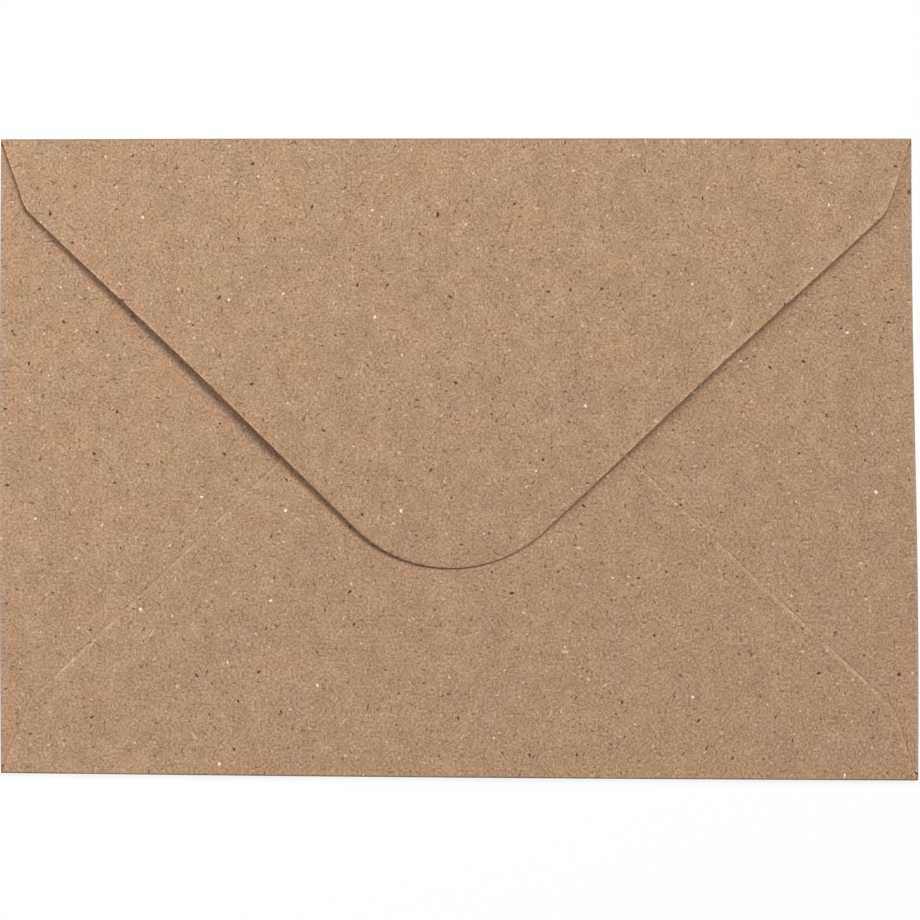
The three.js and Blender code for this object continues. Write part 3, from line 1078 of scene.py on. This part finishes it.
def dried_glue():
    """Cold-set envelope glue: a dull cream film with a slightly streaky surface."""
    material, tree = new_material("dried seam glue")
    place = add(tree, "ShaderNodeUVMap", uv_map="blank").outputs[0]
    streak = add(tree, "ShaderNodeTexNoise", {"Vector": place, "Scale": 1 / STREAK_SIZE, "Detail": 2.0},
                 noise_dimensions="2D").outputs["Fac"]
    tint = add(tree, "ShaderNodeMix", {0: streak, 6: colour("#cdbfa6"), 7: colour("#e0d4bf")},
               data_type="RGBA").outputs[2]
    shader = add(tree, "ShaderNodeBsdfPrincipled", {"Base Color": tint, "Roughness": 0.5})
    add(tree, "ShaderNodeOutputMaterial", {"Surface": shader.outputs[0]})
    return material


kraft = kraft_paper()
gum = dried_gum()
glue = dried_glue()
finishes = {"seal_gum": gum, "left_seam_glue": glue, "right_seam_glue": glue}
for body, pieces in (("pocket", pocket_pieces), ("flap", flap_pieces)):
    for node, piece in pieces.items():
        piece.data.materials.append(finishes.get(node, kraft))
        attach(piece, body)
        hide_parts(node)
top_fold.data.materials.append(kraft)
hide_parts("top_fold", "seal_flap_fold")
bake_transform(top_fold)


# The studio

# The floor's size in metres, how far in millimetres it lies under the envelope, how much of
# it the lens sees as plain white, and how bright that white is
FLOOR_SIZE = 3.0
FLOOR_DROP = 0.02
WHITE_SHARE = 0.85
WHITE_LEVEL = 1.035
WHITE = (1, 1, 1, 1)

# The photograph's camera, fitted to the envelope's four corners: its place in millimetres, its
# turns in degrees, and its lens and sensor in millimetres
CAMERA_PLACE = (29.39, -25.85, 600)
CAMERA_TURNS = (2.427, 2.708, 0.332)
FOCAL_LENGTH = 132.74
SENSOR_WIDTH = 36


def seen_by_lens(tree):
    """1 for the rays that the lens sees, directly or by way of gloss or glass, and 0 for
    those that light the envelope."""
    path = add(tree, "ShaderNodeLightPath")
    seen = path.outputs["Is Camera Ray"]
    for ray in ("Is Glossy Ray", "Is Transmission Ray"):
        seen = add(tree, "ShaderNodeMath", {0: seen, 1: path.outputs[ray]}, operation="ADD",
                   use_clamp=True).outputs[0]
    return seen


def studio_card():
    """Matt white card. The lens sees most of it as plain white, and enough of its own
    lit surface for the envelope's shadow to stay."""
    material, tree = new_material("white studio card")
    seen = seen_by_lens(tree)
    share = add(tree, "ShaderNodeMath", {0: seen, 1: WHITE_SHARE}, operation="MULTIPLY")
    card = add(tree, "ShaderNodeBsdfDiffuse", {"Color": colour("#f4f4f4")})
    glow = add(tree, "ShaderNodeEmission", {"Color": WHITE, "Strength": WHITE_LEVEL})
    mixed = add(tree, "ShaderNodeMixShader",
                {0: share.outputs[0], 1: card.outputs[0], 2: glow.outputs[0]})
    add(tree, "ShaderNodeOutputMaterial", {"Surface": mixed.outputs[0]})
    return material


def floor():
    """A square of card, just under the envelope."""
    half = FLOOR_SIZE / 2
    z = -FLOOR_DROP * MM
    corners = [(-half, -half, z), (half, -half, z), (half, half, z), (-half, half, z)]
    mesh = bpy.data.meshes.new("floor")
    mesh.from_pydata(corners, [], [(0, 1, 2, 3)])
    made = bpy.data.objects.new("floor", mesh)
    bpy.context.scene.collection.objects.link(made)
    made.data.materials.append(studio_card())


def lamp(name, azimuth, elevation, distance, size, share):
    """A round soft lamp aimed at the envelope, with its angles in degrees and its lengths in
    metres. share is the part of its own colour that a white surface lying flat gets from it,
    so that all the shares together make about 1. A disc of power P lights a surface at
    distance D by P sin(elevation) / (pi D)^2."""
    turned, raised = math.radians(azimuth), math.radians(elevation)
    level = math.cos(raised)
    towards = Vector((math.cos(turned) * level, math.sin(turned) * level, math.sin(raised)))
    data = bpy.data.lights.new(name, "AREA")
    data.shape = "DISK"
    data.size = size
    data.energy = share * (math.pi * distance) ** 2 / math.sin(raised)
    made = bpy.data.objects.new(name, data)
    made.location = towards * distance
    made.rotation_euler = towards.to_track_quat("Z", "Y").to_euler()
    bpy.context.scene.collection.objects.link(made)


def surroundings(share):
    """White for the lens, and a dim even sky for the light on the envelope."""
    world = bpy.data.worlds.new("studio")
    world.use_nodes = True
    tree = world.node_tree
    tree.nodes.clear()
    seen = seen_by_lens(tree)
    sky = add(tree, "ShaderNodeBackground", {"Color": WHITE, "Strength": share})
    white = add(tree, "ShaderNodeBackground", {"Color": WHITE, "Strength": 1.0})
    mixed = add(tree, "ShaderNodeMixShader", {0: seen, 1: sky.outputs[0], 2: white.outputs[0]})
    add(tree, "ShaderNodeOutputWorld", {"Surface": mixed.outputs[0]})
    bpy.context.scene.world = world


def camera():
    """Nearly square over the envelope, with the envelope as wide as the frame."""
    data = bpy.data.cameras.new("camera")
    data.sensor_width = SENSOR_WIDTH
    data.lens = FOCAL_LENGTH
    data.clip_start = 0.01
    data.clip_end = 20
    made = bpy.data.objects.new("camera", data)
    made.location = Vector(CAMERA_PLACE) * MM
    made.rotation_euler = Euler([math.radians(turn) for turn in CAMERA_TURNS], "XYZ")
    bpy.context.scene.collection.objects.link(made)
    bpy.context.scene.camera = made


floor()
lamp("right", azimuth=30, elevation=38, distance=4.0, size=1.4, share=0.32)
lamp("head", azimuth=78, elevation=45, distance=0.75, size=0.37, share=0.385)
lamp("left", azimuth=174, elevation=21, distance=0.45, size=0.24, share=0.18)
surroundings(share=0.15)
camera()
bpy.context.scene.view_settings.view_transform = "Standard"
